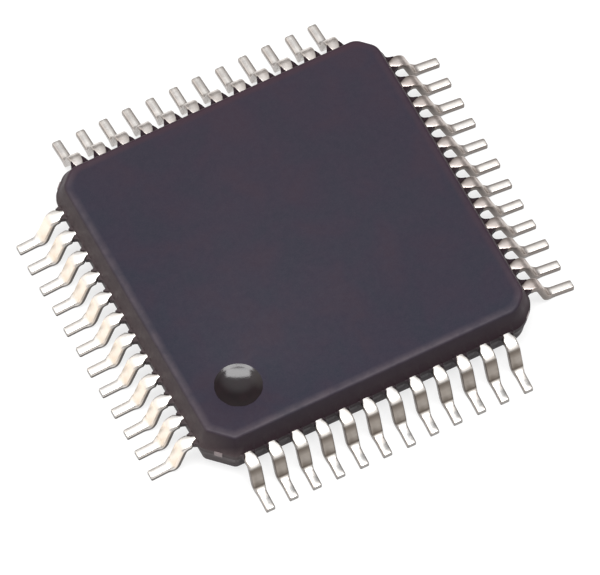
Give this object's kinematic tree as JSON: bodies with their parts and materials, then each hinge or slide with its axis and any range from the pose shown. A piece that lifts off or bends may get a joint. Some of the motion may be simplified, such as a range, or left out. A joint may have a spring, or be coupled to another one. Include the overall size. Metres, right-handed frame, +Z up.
{
  "type": "quad flat pack chip",
  "caption": "Thin square moulded semiconductor package with gull-wing leads on all four sides, cut corners and a round index dimple, for surface mounting on a circuit board.",
  "frame": {"origin": "centre of the seating plane, under the middle of the body", "axes": "+Z up out of the marked face; the index dimple and lead 1 are at the (-X, -Y) corner; leads 1 to 12 run along -Y towards +X, and the numbering goes on counter-clockwise seen from above"},
  "size_m": [0.009, 0.009, 0.0012],
  "materials": {
    "mould_compound": "fine spark-eroded matte",
    "lead_finish": "matte tin plating over copper alloy",
    "lead_frame": "rolled copper alloy",
    "die_adhesive": "silver-filled epoxy",
    "silicon": "polished silicon",
    "bond_wire": "bright gold"
  },
  "bodies": {
    "root": {"lead_01": "lead_finish", "lead_02": "lead_finish", "lead_03": "lead_finish", "lead_04": "lead_finish", "lead_05": "lead_finish", "lead_06": "lead_finish", "lead_07": "lead_finish", "lead_08": "lead_finish", "lead_09": "lead_finish", "lead_10": "lead_finish", "lead_11": "lead_finish", "lead_12": "lead_finish", "lead_13": "lead_finish", "lead_14": "lead_finish", "lead_15": "lead_finish", "lead_16": "lead_finish", "lead_17": "lead_finish", "lead_18": "lead_finish", "lead_19": "lead_finish", "lead_20": "lead_finish", "lead_21": "lead_finish", "lead_22": "lead_finish", "lead_23": "lead_finish", "lead_24": "lead_finish", "lead_25": "lead_finish", "lead_26": "lead_finish", "lead_27": "lead_finish", "lead_28": "lead_finish", "lead_29": "lead_finish", "lead_30": "lead_finish", "lead_31": "lead_finish", "lead_32": "lead_finish", "lead_33": "lead_finish", "lead_34": "lead_finish", "lead_35": "lead_finish", "lead_36": "lead_finish", "lead_37": "lead_finish", "lead_38": "lead_finish", "lead_39": "lead_finish", "lead_40": "lead_finish", "lead_41": "lead_finish", "lead_42": "lead_finish", "lead_43": "lead_finish", "lead_44": "lead_finish", "lead_45": "lead_finish", "lead_46": "lead_finish", "lead_47": "lead_finish", "lead_48": "lead_finish", "moulded_body": "mould_compound", "die_pad": "lead_frame", "die_attach": "die_adhesive", "silicon_die": "silicon", "bond_wires": "bond_wire"}
  },
  "joints": []
}
